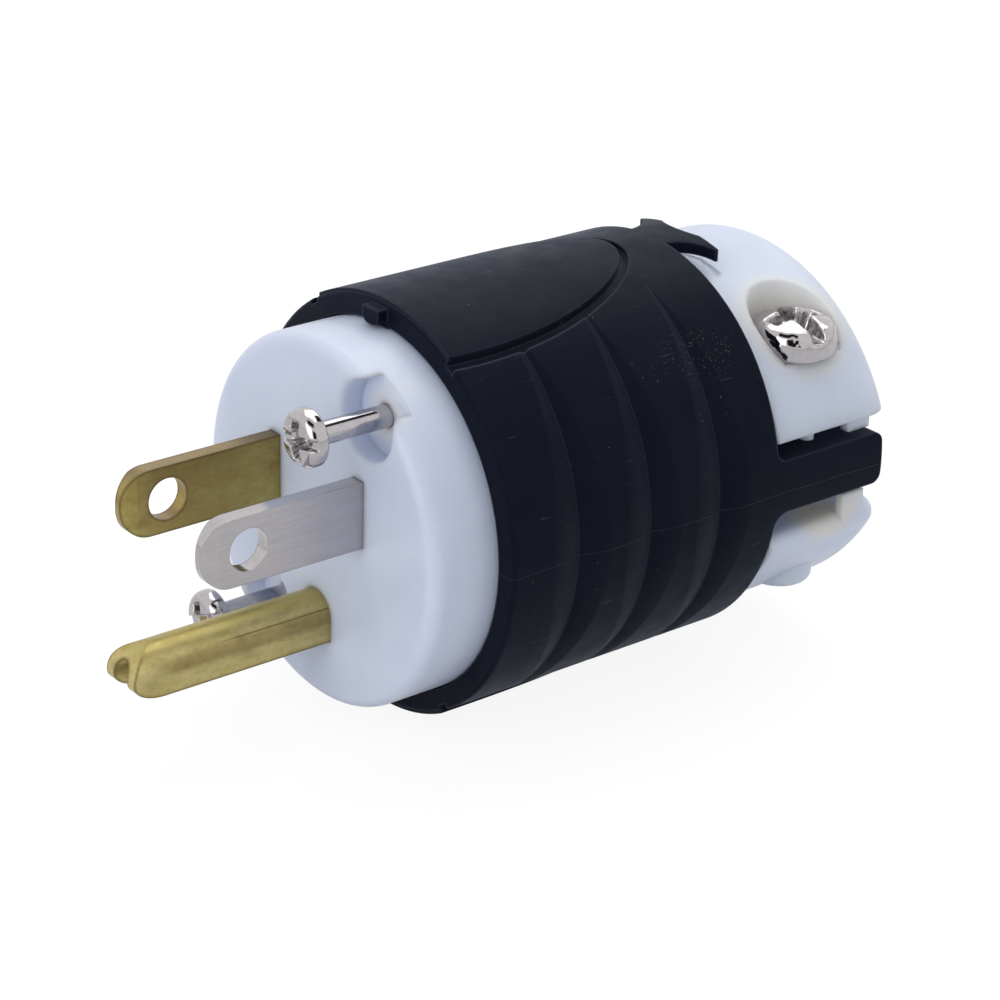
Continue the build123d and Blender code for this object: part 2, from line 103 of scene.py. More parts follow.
# Corners of a square of half width 1, in turn, and a quarter turn in degrees
SQUARE = ((-1, -1), (1, -1), (1, 1), (-1, 1))
QUARTER_TURN = 90

# Screws, in millimetres and degrees, where a share is of the screw's own radius, height or width
SCREW_SIDES = 64
CAD_HEAD_SHARE = 0.72
THREAD_PITCH = 0.7
NECK_SHARE = 0.82
NECK_LENGTH = 0.25
TAIL_SHARE = 0.7
CROWN_STEPS = (0, 0.35, 0.7, 1)
SHOULDER_STEP = 15
SHOULDER_DROP_SHARE = 0.62
FOOT_HEIGHT_SHARE = 0.1
FOOT_RADIUS_SHARE = 0.96
CUT_TOP_SHARE = 1.4
SLOT_REACH_SHARE = 1.5
SLOT_FLOOR_WIDTH_SHARE = 0.8
SLOT_DEPTH_SHARE = 0.40
CROSS_REACH_SHARE = 0.84
CROSS_FLOOR_REACH_SHARE = 0.36
CROSS_WIDTH_SHARE = 1.25
CROSS_FLOOR_WIDTH_SHARE = 0.6
CROSS_DEPTH_SHARE = 0.80
SMOOTHING = 0.5

# Kinds of screw: length and radius of the plain shank, radius of the thread, width of the recess's arms,
# height of the head and of its crown, rounded share of the head, its radius over the solid's, and the
# grid and smoothing rounds of the mesh
ASSEMBLY_SCREW = {"plain": 20.1, "shank": 1.05, "thread": 1.3, "arm": 1.1, "head": 2.0, "dome": 0.25,
                  "shoulder": 0.38, "spread": 1.0, "grid": 0.08, "rounds": 6}
CLAMP_SCREW = {"plain": 2.0, "shank": 1.44, "thread": 1.6, "arm": 1.7, "head": 3.8, "dome": 0.7,
               "shoulder": 0.26, "spread": 1.07, "grid": 0.13, "rounds": 12}

# Patterns of the materials: noise levels that a pattern is spread between, shares of a dot's radius and a
# stripe's half width where they fade, and cosines of the turn from a flat face to an edge
WIDE = (0.3, 0.7)
SOFT = (0.35, 0.65)
NOISE_ROUGHNESS = 0.55
DOT_CORE_SHARE = 0.6
STRIPE_FOOT_SHARE = 1.4
STRIPE_CORE_SHARE = 0.4
EDGE_COSINES = (0.995, 0.90)
EDGE_SAMPLES = 5

# White nylon: its two tones, its specks, and patches of painted light round the screws and of painted warm
# shade on the skirt, in millimetres
NYLON_DEEP = (0.68, 0.74, 0.90)
NYLON_PALE = (0.71, 0.77, 0.92)
NYLON_SPECK = (0.5, 0.47, 0.42)
PAINTED_PATCH_CORE_SHARE = 0.55
PAINTED_PATCH_STRENGTH = 0.9
# Painted light in the clamp-screw pockets, standing in for light that comes through the translucent jaw
CLAMP_PAINTED_LIGHT = (0.95, 0.93, 0.85)
CLAMP_PAINTED_LIGHT_REACH = 7.0
# Painted light in the front screw pockets, which lifts their shade to a paler, neutral grey
FRONT_PAINTED_LIGHT = (0.86, 0.87, 0.89)
FRONT_PAINTED_LIGHT_REACH = 3.8
FRONT_PAINTED_LIGHT_DEPTH = 4.0
# Painted warm shade on the lower jaw's skirt under the arms
SKIRT_PAINTED_SHADE = (0.80, 0.78, 0.72)
SKIRT_PAINTED_SHADE_REACH = 5
SKIRT_PAINTED_SHADE_PLACES = ((-18, 46, -3), (18, 46, -3))

# Black nylon: its two tones, and in millimetres its parting line and the patch where dust has gathered
SHELL_DEEP = (0.0052, 0.0064, 0.0130)
SHELL_PALE = (0.0068, 0.0082, 0.0160)
# Painted highlight along the shell's edges
SHELL_EDGE_HIGHLIGHT = (0.050, 0.058, 0.086)
SCRATCH = (0.05, 0.052, 0.06)
PARTING = (0.035, 0.038, 0.048)
PARTING_STRENGTH = 0.3
PARTING_HALF_WIDTH = 0.07
PARTING_WAVE = 0.12
DUST = (0.26, 0.225, 0.19)
DUST_PLACE = (14.2, 32.0, 13.4)
DUST_REACH = 3.4
DUST_CORE_SHARE = 0.25
DUST_STRETCH = 2.2

# Metals: tones, gloss and depths in millimetres. A band is its height, half width, strength and front end.
BRASS_PIT = (0.03, 0.022, 0.012)
BRASS_GLOSS_SPREAD = (0.8, 1.25)
BAND_FADE = 4
NICKEL_PIT = (0.08, 0.07, 0.07)
NICKEL_GLOSS_SPREAD = (0.85, 1.2)
CLOUD_SHADE = 0.92
LINE_BRASS = {"light": (0.41, 0.34, 0.12), "dark": (0.36, 0.265, 0.09), "stain": (0.15, 0.095, 0.045),
              "edge": (0.20, 0.145, 0.085), "rough": 0.36}
# The ground pin's edge colour is painted shade on the top of its fold, toning down the highlight there
GROUND_BRASS = {"light": (0.60, 0.505, 0.225), "dark": (0.51, 0.42, 0.165), "stain": (0.19, 0.13, 0.05),
                "edge": (0.42, 0.35, 0.125), "rough": 0.42,
                "bands": ((-8.5, 0.8, 0.5, -20), (-7.75, 0.07, 0.8, -13))}
NICKEL_PLATE = {"colour": (0.50, 0.475, 0.485), "rough": 0.36, "edge": (0.34, 0.27, 0.26), "edge_rough": 0.08,
                "brush_depth": 0.006, "stretch": (1, 14, 0.7)}
GREEN_SCREW = {"colour": (0.06, 0.32, 0.12), "rough": 0.3, "edge": (0.2, 0.4, 0.22), "edge_rough": 0.3,
               "brush_depth": 0.002, "stretch": (1, 1, 1)}
SCREW_STEEL = {"colour": (0.50, 0.475, 0.49), "rough": 0.09, "edge": (0.62, 0.58, 0.58), "edge_rough": 0.09,
               "brush_depth": 0.001, "stretch": (1, 1, 1)}
CLAMP_DENTS = 0.22

# Sockets of the Mix node when it blends colours
MIX_SHARE, MIX_FIRST, MIX_SECOND, MIX_RESULT = 0, 6, 7, 2


def feed(tree, socket, value):
    """Links another node's socket to this one, or sets a plain value on it."""
    if isinstance(value, bpy.types.NodeSocket):
        tree.links.new(value, socket)
    else:
        socket.default_value = value


def add_node(tree, kind, settings=None, **inputs):
    """Adds a shader node, with its settings and its inputs by name, and returns it."""
    node = tree.nodes.new("ShaderNode" + kind)
    for name, value in (settings or {}).items():
        setattr(node, name, value)
    for name, value in inputs.items():
        feed(tree, node.inputs[name.replace("_", " ")], value)
    return node


def new_material(name):
    """A material with an empty tree, and the output that its shader goes to."""
    material = bpy.data.materials.new(name)
    material.use_nodes = True
    tree = material.node_tree
    tree.nodes.clear()
    return material, tree, tree.nodes.new("ShaderNodeOutputMaterial")


def finish_material(tree, output, constants, **inputs):
    """Adds the shader, with what is the same all over set on its own sockets."""
    shader = add_node(tree, "BsdfPrincipled", **inputs)
    for name, value in constants.items():
        shader.inputs[name].default_value = value
    tree.links.new(shader.outputs["BSDF"], output.inputs["Surface"])


def millimetres(tree, stretch=(1, 1, 1)):
    """Object coordinates in millimetres, stretched along each axis."""
    place = add_node(tree, "TexCoord").outputs["Object"]
    scale = [1 / MM / factor for factor in stretch]
    return add_node(tree, "Mapping", Vector=place, Scale=scale).outputs["Vector"]


def noise(tree, place, size, detail=3.0):
    """Noise from 0 to 1 whose grains are about the given size in millimetres."""
    node = add_node(tree, "TexNoise", Vector=place, Scale=1 / size, Detail=detail, Roughness=NOISE_ROUGHNESS)
    return node.outputs["Fac"]


def ramp(tree, value, low, high, start=0.0, end=1.0):
    """Maps low..high to start..end, clamped and smooth."""
    node = add_node(tree, "MapRange", {"interpolation_type": "SMOOTHSTEP"}, Value=value)
    for name, number in (("From Min", low), ("From Max", high), ("To Min", start), ("To Max", end)):
        node.inputs[name].default_value = number
    return node.outputs["Result"]


def patches(tree, place, size, levels, shown=(0.0, 1.0), detail=3.0):
    """Noise of a grain size in millimetres, mapped from two of its levels to the two values shown."""
    return ramp(tree, noise(tree, place, size, detail), *levels, *shown)


def math_node(tree, operation, first, second=0.0):
    """Result of a sum, product or the like of two values."""
    node = add_node(tree, "Math", {"operation": operation})
    for socket, value in zip(node.inputs, (first, second)):
        feed(tree, socket, value)
    return node.outputs["Value"]


def times(tree, first, second):
    """Product of two values."""
    return math_node(tree, "MULTIPLY", first, second)


def blend_colour(tree, share, first, second):
    """Colour between first and second by share, where each is a colour or a socket."""
    node = add_node(tree, "Mix", {"data_type": "RGBA"})
    feed(tree, node.inputs[MIX_SHARE], share)
    for index, colour in ((MIX_FIRST, first), (MIX_SECOND, second)):
        plain = not isinstance(colour, bpy.types.NodeSocket)
        feed(tree, node.inputs[index], (*colour, 1) if plain else colour)
    return node.outputs[MIX_RESULT]


def dots(tree, place, spacing, radius, strength=1.0):
    """Sparse round dots: the strength in a dot and 0 outside, with sizes in millimetres."""
    cells = add_node(tree, "TexVoronoi", Vector=place, Scale=1 / spacing)
    reach = radius / spacing
    return ramp(tree, cells.outputs["Distance"], reach, reach * DOT_CORE_SHARE, end=strength)


def stripe(tree, value, middle, half_width):
    """1 in a narrow band of the value and 0 outside it."""
    away = math_node(tree, "ABSOLUTE", math_node(tree, "SUBTRACT", value, middle))
    return ramp(tree, away, half_width * STRIPE_FOOT_SHARE, half_width * STRIPE_CORE_SHARE)


def facing(tree, axis):
    """How far the surface faces along an axis of the object, from 0 to 1."""
    normal = add_node(tree, "TexCoord").outputs["Normal"]
    return math_node(tree, "ABSOLUTE", add_node(tree, "SeparateXYZ", Vector=normal).outputs[axis])


def distance_from(tree, place, centre):
    """Distance in millimetres from a point."""
    node = add_node(tree, "VectorMath", {"operation": "DISTANCE"})
    tree.links.new(place, node.inputs[0])
    node.inputs[1].default_value = centre
    return node.outputs["Value"]


def soft_edges(tree, radius):
    """Surface direction with the edges rounded to the given radius in millimetres."""
    return add_node(tree, "Bevel", {"samples": EDGE_SAMPLES}, Radius=radius * MM).outputs["Normal"]


def edge_share(tree, rounded, strength):
    """Strength along an edge and 0 on open faces, by how far the rounded direction leaves the plain one."""
    plain = add_node(tree, "NewGeometry").outputs["Normal"]
    node = add_node(tree, "VectorMath", {"operation": "DOT_PRODUCT"})
    tree.links.new(plain, node.inputs[0])
    tree.links.new(rounded, node.inputs[1])
    return ramp(tree, node.outputs["Value"], *EDGE_COSINES, end=strength)


def bump(tree, height, depth, normal):
    """Surface direction after a relief of the given depth in millimetres."""
    return add_node(tree, "Bump", Height=height, Distance=depth * MM, Normal=normal).outputs["Normal"]


def white_nylon(name, edge_radius, depth, painted_patches=()):
    """Bluish white nylon, translucent to a depth and mottled, with patches of painted light and shade as
    (centre, reach, colour).
    """
    material, tree, output = new_material(name)
    place = millimetres(tree)
    colour = blend_colour(tree, patches(tree, place, size=6.0, levels=SOFT), NYLON_DEEP, NYLON_PALE)
    # Patches of painted light and shade, each strongest at its centre
    for centre, reach, tint in painted_patches:
        away = distance_from(tree, place, centre)
        painted_share = ramp(tree, away, reach, reach * PAINTED_PATCH_CORE_SHARE, end=PAINTED_PATCH_STRENGTH)
        colour = blend_colour(tree, painted_share, colour, tint)
    specks = dots(tree, place, spacing=5.0, radius=0.09, strength=0.25)
    colour = blend_colour(tree, specks, colour, NYLON_SPECK)
    skin = bump(tree, noise(tree, place, size=0.5), depth=0.002, normal=soft_edges(tree, edge_radius))
    gloss = patches(tree, place, size=1.5, levels=WIDE, shown=(0.29, 0.35))
    constants = {
        "Subsurface Weight": 0.7,
        "Subsurface Radius": (1.2, 1.1, 1.0),
        "Subsurface Scale": depth * MM,
        "Specular IOR Level": 0.45,
    }
    finish_material(tree, output, constants, Base_Color=colour, Roughness=gloss, Normal=skin)
    return material


def parting_line(tree, place):
    """1 on the thin, slightly wavy seam that the mould left along both sides, and 0 elsewhere."""
    height = add_node(tree, "SeparateXYZ", Vector=place).outputs["Z"]
    wave = patches(tree, place, size=7.0, levels=WIDE, shown=(-PARTING_WAVE, PARTING_WAVE), detail=1.0)
    return stripe(tree, math_node(tree, "ADD", height, wave), middle=0.0, half_width=PARTING_HALF_WIDTH)


def gathered_dust(tree, place):
    """1 on the specks of fine dust that lie in one patch drawn out along the housing, and 0 elsewhere."""
    drawn_out = millimetres(tree, stretch=(1, DUST_STRETCH, 1))
    middle = (DUST_PLACE[0], DUST_PLACE[1] / DUST_STRETCH, DUST_PLACE[2])
    patch = ramp(tree, distance_from(tree, drawn_out, middle), DUST_REACH, DUST_REACH * DUST_CORE_SHARE)
    specks = times(tree, dots(tree, place, spacing=0.25, radius=0.048), patch)
    return times(tree, specks, patches(tree, place, size=0.9, levels=(0.36, 0.58)))


def black_nylon(name):
    """Near-black moulded nylon with a fine grain, dust, hairline scratches, painted highlights along its
    edges and a parting line.
    """
    material, tree, output = new_material(name)
    place = millimetres(tree)
    rounded = soft_edges(tree, radius=0.3)
    colour = blend_colour(tree, patches(tree, place, size=9.0, levels=SOFT), SHELL_DEEP, SHELL_PALE)
    # Painted highlight: the colour turns paler along convex and concave edges
    colour = blend_colour(tree, edge_share(tree, rounded, strength=0.7), colour, SHELL_EDGE_HIGHLIGHT)
    uneven = patches(tree, place, size=4.0, levels=(0.50, 0.64), shown=(0.0, 0.7))
    loose_dust = times(tree, dots(tree, place, spacing=1.5, radius=0.075), uneven)
    dust = math_node(tree, "MAXIMUM", loose_dust, gathered_dust(tree, place))
    colour = blend_colour(tree, dust, colour, DUST)
    along = millimetres(tree, stretch=(0.5, 14, 3))
    long_marks = patches(tree, along, size=0.28, levels=(0.71, 0.75), detail=1.0)
    colour = blend_colour(tree, times(tree, long_marks, uneven), colour, SCRATCH)
    parting = parting_line(tree, place)
    colour = blend_colour(tree, times(tree, parting, PARTING_STRENGTH), colour, PARTING)
    grained = bump(tree, noise(tree, place, size=0.16, detail=2.0), depth=0.016, normal=rounded)
    skin = bump(tree, parting, depth=0.05, normal=grained)
    gloss = patches(tree, place, size=2.5, levels=WIDE, shown=(0.40, 0.50))
    constants = {
        "Specular IOR Level": 0.052,
        "Specular Tint": (0.72, 0.84, 1.0, 1),
        "Sheen Weight": 0.11,
        "Sheen Roughness": 0.35,
        "Sheen Tint": (0.45, 0.62, 1.0, 1),
    }
    finish_material(tree, output, constants, Base_Color=colour, Roughness=gloss, Normal=skin)
    return material


def brass(name, light, dark, stain, edge, rough, bands=()):
    """Worn brass sheet in two tones, with stains, pits, drawn lines, brown edges, brown bands, and the edge
    colour on faces that look up and down, which on the ground pin is painted shade.
    """
    material, tree, output = new_material(name)
    place = millimetres(tree)
    along = millimetres(tree, stretch=(1, 2.5, 1))
    colour = blend_colour(tree, patches(tree, along, size=2.2, levels=(0.34, 0.66)), dark, light)
    blotches = patches(tree, along, size=1.6, levels=(0.50, 0.72), shown=(0.0, 0.32), detail=4.0)
    colour = blend_colour(tree, blotches, colour, stain)
    speckles = patches(tree, along, size=0.25, levels=(0.46, 0.72), shown=(0.0, 0.22), detail=4.0)
    colour = blend_colour(tree, speckles, colour, stain)
    # Faces that look up and down take the edge colour: painted shade on the ground pin's fold, and darker
    # brown narrow faces on the line blade
    level_face_shade_and_brown = ramp(tree, facing(tree, "Z"), low=0.6, high=0.95, end=0.7)
    colour = blend_colour(tree, level_face_shade_and_brown, colour, edge)
    border = edge_share(tree, soft_edges(tree, radius=0.5), strength=0.95)
    colour = blend_colour(tree, border, colour, stain)
    axes = add_node(tree, "SeparateXYZ", Vector=place).outputs
    for middle, half_width, strength, front in bands:
        reached = ramp(tree, axes["Y"], front, front + BAND_FADE, end=strength)
        band = times(tree, stripe(tree, axes["Z"], middle, half_width), reached)
        colour = blend_colour(tree, band, colour, stain)
    fine_pits = dots(tree, place, spacing=0.8, radius=0.05, strength=0.7)
    coarse_pits = dots(tree, place, spacing=3.2, radius=0.13, strength=0.9)
    colour = blend_colour(tree, math_node(tree, "MAXIMUM", coarse_pits, fine_pits), colour, BRASS_PIT)
    drawn = noise(tree, millimetres(tree, stretch=(0.6, 9, 0.6)), size=0.3)
    relief = bump(tree, drawn, depth=0.011, normal=soft_edges(tree, radius=0.14))
    spread = [rough * share for share in BRASS_GLOSS_SPREAD]
    gloss = patches(tree, place, size=0.9, levels=WIDE, shown=spread, detail=4.0)
    finish_material(tree, output, {"Metallic": 1.0}, Base_Color=colour, Roughness=gloss, Normal=relief)
    return material


def nickel(name, colour, rough, edge, edge_rough, brush_depth, stretch, dent_depth=0.0):
    """Plated metal, brushed and clouded along one direction, with edges of another tone and polish."""
    material, tree, output = new_material(name)
    place = millimetres(tree)
    along = millimetres(tree, stretch)
    rounded = soft_edges(tree, radius=0.12)
    clouded = [CLOUD_SHADE * part for part in colour]
    tint = blend_colour(tree, patches(tree, along, size=0.5, levels=SOFT), clouded, colour)
    tint = blend_colour(tree, edge_share(tree, rounded, strength=0.6), tint, edge)
    tint = blend_colour(tree, dots(tree, place, spacing=1.3, radius=0.05, strength=0.5), tint, NICKEL_PIT)
    dented = bump(tree, noise(tree, place, size=1.6, detail=1.0), depth=dent_depth, normal=rounded)
    relief = bump(tree, noise(tree, along, size=0.16, detail=4.0), depth=brush_depth, normal=dented)
    polish = ramp(tree, facing(tree, "X"), low=0.3, high=0.9, start=edge_rough, end=rough)
    uneven = patches(tree, place, size=0.8, levels=WIDE, shown=NICKEL_GLOSS_SPREAD, detail=4.0)
    gloss = times(tree, polish, uneven)
    finish_material(tree, output, {"Metallic": 1.0}, Base_Color=tint, Roughness=gloss, Normal=relief)
    return material


def turned(profile):
    """Mesh turned round Z from a profile of (radius, height) points, in millimetres."""
    form = bmesh.new()
    angles = [2 * math.pi * side / SCREW_SIDES for side in range(SCREW_SIDES)]
    circle = [(math.cos(angle), math.sin(angle)) for angle in angles]
    rings = []
    for radius, height in profile:
        if radius == 0:
            rings.append([form.verts.new((0, 0, height))])
        else:
            rings.append([form.verts.new((radius * x, radius * y, height)) for x, y in circle])
    for lower, upper in zip(rings, rings[1:]):
        for side in range(SCREW_SIDES):
            spots = ((lower, side), (lower, side + 1), (upper, side + 1), (upper, side))
            corners = [ring[spot % len(ring)] for ring, spot in spots]
            form.faces.new(list(dict.fromkeys(corners)))
    bmesh.ops.recalc_face_normals(form, faces=form.faces)
    return form


def tapered_bar(reach, width, reach_below, width_below, top, bottom):
    """Mesh of a bar that narrows downwards, for one arm of a cross recess or a slot."""
    form = bmesh.new()
    rings = []
    for long, wide, height in ((reach, width, top), (reach_below, width_below, bottom)):
        rings.append([form.verts.new((x * long, y * wide / 2, height)) for x, y in SQUARE])
    upper, lower = rings
    form.faces.new(upper)
    form.faces.new(list(reversed(lower)))
    for side in range(len(SQUARE)):
        after = (side + 1) % len(SQUARE)
        form.faces.new((upper[side], lower[side], lower[after], upper[after]))
    bmesh.ops.recalc_face_normals(form, faces=form.faces)
    return form


def mesh_object(name, form):
    """Turns an edited mesh into an object of the scene."""
    mesh = bpy.data.meshes.new(name)
    form.to_mesh(mesh)
    form.free()
    thing = bpy.data.objects.new(name, mesh)
    bpy.context.scene.collection.objects.link(thing)
    return thing


def head_profile(radius, height, dome, round_share):
    """Pan head from the middle of its top to its underside: low crown, round shoulder and short wall."""
    shoulder = radius * round_share
    inner = radius - shoulder
    drop = height * SHOULDER_DROP_SHARE
    crown = [(inner * share, height + dome * (1 - share**2)) for share in CROWN_STEPS]
    turns = [math.radians(degrees) for degrees in range(SHOULDER_STEP, QUARTER_TURN + 1, SHOULDER_STEP)]
    arc = [(inner + shoulder * math.sin(t), height - drop + drop * math.cos(t)) for t in turns]
    return crown + arc + [(radius, height * FOOT_HEIGHT_SHARE), (radius * FOOT_RADIUS_SHARE, 0)]


def thread_profile(root, radius, start, end):
    """Ridges of a thread from start down to end, as profile points."""
    turns = max(1, round((start - end) / THREAD_PITCH))
    step = (start - end) / turns
    points = []
    for turn in range(turns):
        points.append((root, start - turn * step))
        points.append((radius, start - (turn + 0.5) * step))
    return points + [(root, end)]


def screw_profile(radius, tail, style):
    """Whole screw from the middle of its top to its tail, with the head's underside at height 0."""
    shank = style["shank"]
    plain = style["plain"]
    neck = shank * NECK_SHARE
    under_crown = style["head"] - style["dome"]
    head = head_profile(radius * style["spread"], under_crown, style["dome"], style["shoulder"])
    stem = [(neck, 0), (neck, -NECK_LENGTH), (shank, -2 * NECK_LENGTH), (shank, -plain)]
    thread = thread_profile(shank, style["thread"], -plain, tail + THREAD_PITCH)
    return head + stem + thread + [(shank * TAIL_SHARE, tail), (0, tail)]


def recess_forms(radius, style):
    """Meshes to cut a slot and the two arms of a cross out of a head."""
    under_crown = style["head"] - style["dome"]
    arm = style["arm"]
    top = CUT_TOP_SHARE * under_crown
    slot_reach = SLOT_REACH_SHARE * radius
    slot_floor = under_crown * (1 - SLOT_DEPTH_SHARE)
    slot = tapered_bar(slot_reach, arm, slot_reach, arm * SLOT_FLOOR_WIDTH_SHARE, top, slot_floor)
    cross_mouth = (CROSS_REACH_SHARE * radius, arm * CROSS_WIDTH_SHARE)
    cross_below = (CROSS_FLOOR_REACH_SHARE * radius, arm * CROSS_FLOOR_WIDTH_SHARE)
    cross_floor = under_crown * (1 - CROSS_DEPTH_SHARE)
    cross = [tapered_bar(*cross_mouth, *cross_below, top, cross_floor) for _ in range(2)]
    across = Matrix.Rotation(math.radians(QUARTER_TURN), 3, "Z")
    bmesh.ops.rotate(cross[1], verts=cross[1].verts, matrix=across)
    return [slot, *cross]


def cut_and_plate(blank, cutters, style):
    """The blank with the cutters taken away and its edges softened as by thick plating, as a new mesh."""
    for cutter in cutters:
        cut = blank.modifiers.new("recess", "BOOLEAN")
        cut.operation = "DIFFERENCE"
        cut.solver = "EXACT"
        cut.object = cutter
    even = blank.modifiers.new("even", "REMESH")
    even.mode = "VOXEL"
    even.voxel_size = style["grid"]
    even.use_smooth_shade = True
    soft = blank.modifiers.new("plated", "SMOOTH")
    soft.factor = SMOOTHING
    soft.iterations = style["rounds"]
    graph = bpy.context.evaluated_depsgraph_get()
    mesh = bpy.data.meshes.new_from_object(blank.evaluated_get(graph))
    for thing in (blank, *cutters):
        bpy.data.objects.remove(thing)
    return mesh


def add_screw(node, body, axis, style, turn, material):
    """Pan-head screw with a slot and a cross recess, in place of a CAD node whose head points along axis."""
    low, high = (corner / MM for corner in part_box(node))
    middle = (low + high) / 2
    radius = (high.x - low.x) / 2
    seat = CAD_HEAD_SHARE * radius
    if axis == "-Y":
        length = high.y - low.y
        place = Vector((middle.x, low.y + seat, middle.z))
        stand = Matrix.Rotation(math.radians(QUARTER_TURN), 4, "X")
    else:
        length = high.z - low.z
        place = Vector((middle.x, middle.y, high.z - seat))
        stand = Matrix.Identity(4)
    blank = mesh_object(node + "_turned", turned(screw_profile(radius, seat - length, style)))
    cutters = [mesh_object(node + "_recess", form) for form in recess_forms(radius, style)]
    mesh = cut_and_plate(blank, cutters, style)
    spin = Matrix.Rotation(math.radians(turn), 4, "Z")
    mesh.transform(Matrix.Scale(MM, 4) @ Matrix.Translation(place) @ stand @ spin)
    mesh.materials.append(material)
    screw = bpy.data.objects.new(node + "_screw", mesh)
    bpy.context.scene.collection.objects.link(screw)
    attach(screw, body)
    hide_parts(node)


def camera_basis():
    """Directions to the right of, up from and back to the camera."""
    turn = math.radians(CAMERA_AZIMUTH)
    lift = math.radians(CAMERA_ELEVATION)
    back = Vector((math.sin(turn) * math.cos(lift), -math.cos(turn) * math.cos(lift), math.sin(lift)))
    level = Vector((math.cos(turn), math.sin(turn), 0))
    roll = Matrix.Rotation(math.radians(CAMERA_ROLL), 3, back)
    return roll @ level, roll @ back.cross(level), back


def add_camera():
    """Camera at the photograph's place and angle."""
    right, up, back = camera_basis()
    data = bpy.data.cameras.new("camera")
    data.lens = CAMERA_LENS
    data.sensor_width = SENSOR_WIDTH
    data.clip_start = CLIP_START
    data.clip_end = CLIP_END
    camera = bpy.data.objects.new("camera", data)
    bpy.context.scene.collection.objects.link(camera)
    place = right * CAMERA_RIGHT + up * CAMERA_UP + back * CAMERA_DISTANCE
    axes = Matrix((right, up, back)).transposed()
    camera.matrix_world = Matrix.Translation(place * MM) @ axes.to_4x4()
    bpy.context.scene.camera = camera


def turn_to(place, aim):
    """Rotation of a lamp or card at a place so that it faces its aim."""
    return (Vector(aim) - Vector(place)).to_track_quat("-Z", "Y").to_euler()


def add_lamp(name, place, aim, size, power, colour):
    """Soft square lamp that faces its aim."""
    data = bpy.data.lights.new(name, "AREA")
    data.shape = "SQUARE"
    data.size = size
    data.energy = power
    data.color = colour
    lamp = bpy.data.objects.new(name, data)
    lamp.location = place
    lamp.rotation_euler = turn_to(place, aim)
    bpy.context.scene.collection.objects.link(lamp)


def mix_shaders(tree, share, first, second):
    """Shader between first and second by share."""
    node = add_node(tree, "MixShader", Fac=share)
    tree.links.new(first, node.inputs[1])
    tree.links.new(second, node.inputs[2])
    return node.outputs[0]


def seen_directly(tree):
    """1 for rays from the camera, a mirror or glass, and 0 for rays that carry light to other surfaces."""
    path = add_node(tree, "LightPath").outputs
    mirror = math_node(tree, "MAXIMUM", path["Is Glossy Ray"], path["Is Transmission Ray"])
    return math_node(tree, "MAXIMUM", path["Is Camera Ray"], mirror)


def add_world():
    """White where it is seen, and a soft cool light elsewhere."""
    world = bpy.data.worlds.new("studio")
    bpy.context.scene.world = world
    world.use_nodes = True
    tree = world.node_tree
    tree.nodes.clear()
    output = tree.nodes.new("ShaderNodeOutputWorld")
    ambient = add_node(tree, "Background", Color=AMBIENT_COLOUR, Strength=AMBIENT_STRENGTH)
    white = add_node(tree, "Background", Color=(1, 1, 1, 1), Strength=1.0)
    mixed = mix_shaders(tree, seen_directly(tree), ambient.outputs[0], white.outputs[0])
    tree.links.new(mixed, output.inputs["Surface"])


def flat_sheet(name, width, height):
    """Flat object of one face, centred on its own origin."""
    mesh = bpy.data.meshes.new(name)
    corners = [(x * width / 2, y * height / 2, 0) for x, y in SQUARE]
    mesh.from_pydata(corners, [], [list(range(len(SQUARE)))])
    sheet = bpy.data.objects.new(name, mesh)
    bpy.context.scene.collection.objects.link(sheet)
    return sheet


def glowing_paper(tree, share, glow):
    """Matt white of a share, with a glow of its own added."""
    matt = add_node(tree, "BsdfDiffuse", Color=(share, share, share, 1))
    light = add_node(tree, "Emission", Color=(1, 1, 1, 1), Strength=glow)
    bright = add_node(tree, "AddShader")
    tree.links.new(matt.outputs[0], bright.inputs[0])
    tree.links.new(light.outputs[0], bright.inputs[1])
    return bright.outputs[0]


def add_floor():
    """Wide white floor that shows as white and keeps a faint shadow."""
    floor = flat_sheet("floor", FLOOR_SIDE, FLOOR_SIDE)
    floor.location.z = cad_low.z
    material, tree, output = new_material("floor")
    paper = add_node(tree, "BsdfDiffuse", Color=FLOOR_PAPER)
    in_mirrors = glowing_paper(tree, **FLOOR_IN_MIRRORS)
    in_camera = glowing_paper(tree, **FLOOR_IN_CAMERA)
    shown = mix_shaders(tree, add_node(tree, "LightPath").outputs["Is Camera Ray"], in_mirrors, in_camera)
    mixed = mix_shaders(tree, seen_directly(tree), paper.outputs[0], shown)
    tree.links.new(mixed, output.inputs["Surface"])
    floor.data.materials.append(material)


def add_card(name, place, aim, width, height):
    """Matt dark card beside the object, out of the picture, that shows only in what it reflects in."""
    card = flat_sheet(name, width, height)
    card.location = place
    card.rotation_euler = turn_to(place, aim)
    card.visible_camera = False
    card.visible_diffuse = False
    card.visible_shadow = False
    material, tree, output = new_material(name)
    paper = add_node(tree, "BsdfDiffuse", Color=CARD_SHADE)
    tree.links.new(paper.outputs[0], output.inputs["Surface"])
    card.data.materials.append(material)


def set_material(node, material):
    """Gives a carried-over piece one finish all over."""
    slots = frame["nodes"][node].data.materials
    slots.clear()
    slots.append(material)


def head_place(node, axis):
    """Middle of the top of a screw's head, in millimetres."""
    low, high = (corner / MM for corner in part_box(node))
    middle = (low + high) / 2
    return Vector((middle.x, low.y, middle.z)) if axis == "-Y" else Vector((middle.x, middle.y, high.z))


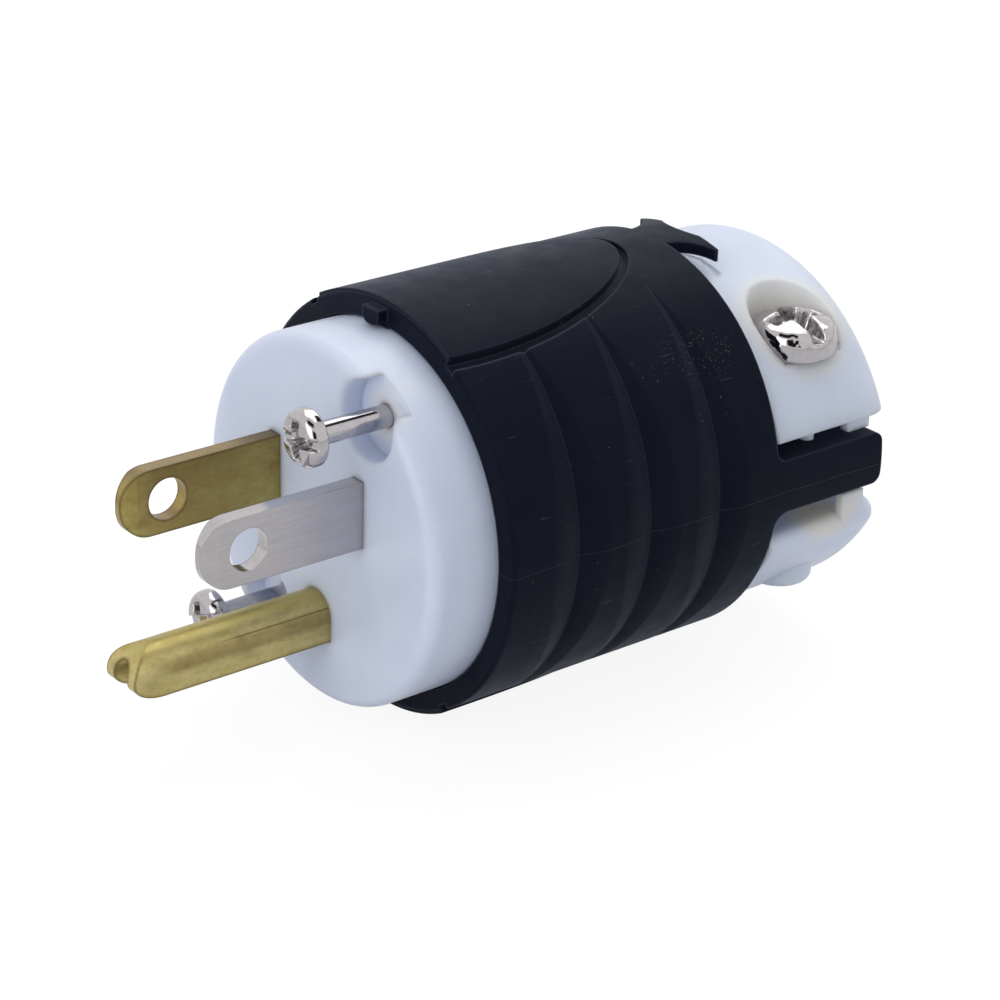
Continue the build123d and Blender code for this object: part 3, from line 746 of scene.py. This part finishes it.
def dress_cad(steel):
    """Gives every carried-over piece its finish."""
    clamp_heads = [head_place(node, "+Z") for node in ("clamp_screw_right", "clamp_screw_left")]
    front_heads = [head_place(node, "-Y") for node in ("assembly_screw_upper", "assembly_screw_lower")]
    front_places = [(place.x, FRONT_PAINTED_LIGHT_DEPTH, place.z) for place in front_heads]
    # Painted light round the clamp-screw pockets of the upper jaw
    clamp_painted_light = [(place, CLAMP_PAINTED_LIGHT_REACH, CLAMP_PAINTED_LIGHT) for place in clamp_heads]
    # Painted light in the front screw pockets
    front_painted_light = [(place, FRONT_PAINTED_LIGHT_REACH, FRONT_PAINTED_LIGHT) for place in front_places]
    # Painted warm shade under the arms, on the lower jaw's skirt
    skirt_painted_shade = [(place, SKIRT_PAINTED_SHADE_REACH, SKIRT_PAINTED_SHADE) for place in SKIRT_PAINTED_SHADE_PLACES]
    finishes = {
        "white_nylon": white_nylon("white_nylon", edge_radius=0.7, depth=1.8, painted_patches=front_painted_light),
        "inner_nylon": white_nylon("inner_nylon", edge_radius=0.2, depth=1.0),
        "black_nylon": black_nylon("black_nylon"),
        "brass": brass("ground_brass", **GROUND_BRASS),
        "nickel_plate": nickel("nickel_plate", **NICKEL_PLATE),
        "screw_steel": steel,
        "green_screw": nickel("green_screw", **GREEN_SCREW),
    }
    for part in frame["record"]["subparts"]:
        set_material(part["node"], finishes[part["material_slot"]])
    jaw_nylon = white_nylon("jaw_nylon", edge_radius=0.6, depth=5.0, painted_patches=clamp_painted_light)
    skirt_nylon = white_nylon("skirt_nylon", edge_radius=0.5, depth=1.8, painted_patches=skirt_painted_shade)
    set_material("line_blade", brass("line_brass", **LINE_BRASS))
    set_material("clamp_jaw_upper", jaw_nylon)
    set_material("clamp_jaw_lower", skirt_nylon)


screw_steel = nickel("screw_steel", **SCREW_STEEL)
clamp_steel = nickel("clamp_steel", **SCREW_STEEL, dent_depth=CLAMP_DENTS)
dress_cad(screw_steel)
add_screw("assembly_screw_upper", "upper_screw", "-Y", ASSEMBLY_SCREW, turn=4, material=screw_steel)
add_screw("assembly_screw_lower", "lower_screw", "-Y", ASSEMBLY_SCREW, turn=24, material=screw_steel)
add_screw("clamp_screw_right", "upper_jaw", "+Z", CLAMP_SCREW, turn=-6, material=clamp_steel)
add_screw("clamp_screw_left", "upper_jaw", "+Z", CLAMP_SCREW, turn=35, material=clamp_steel)
add_camera()
add_world()
for lamp in LAMPS:
    add_lamp(**lamp)
for card in CARDS:
    add_card(**card)
add_floor()

bpy.context.scene.view_settings.view_transform = "Standard"
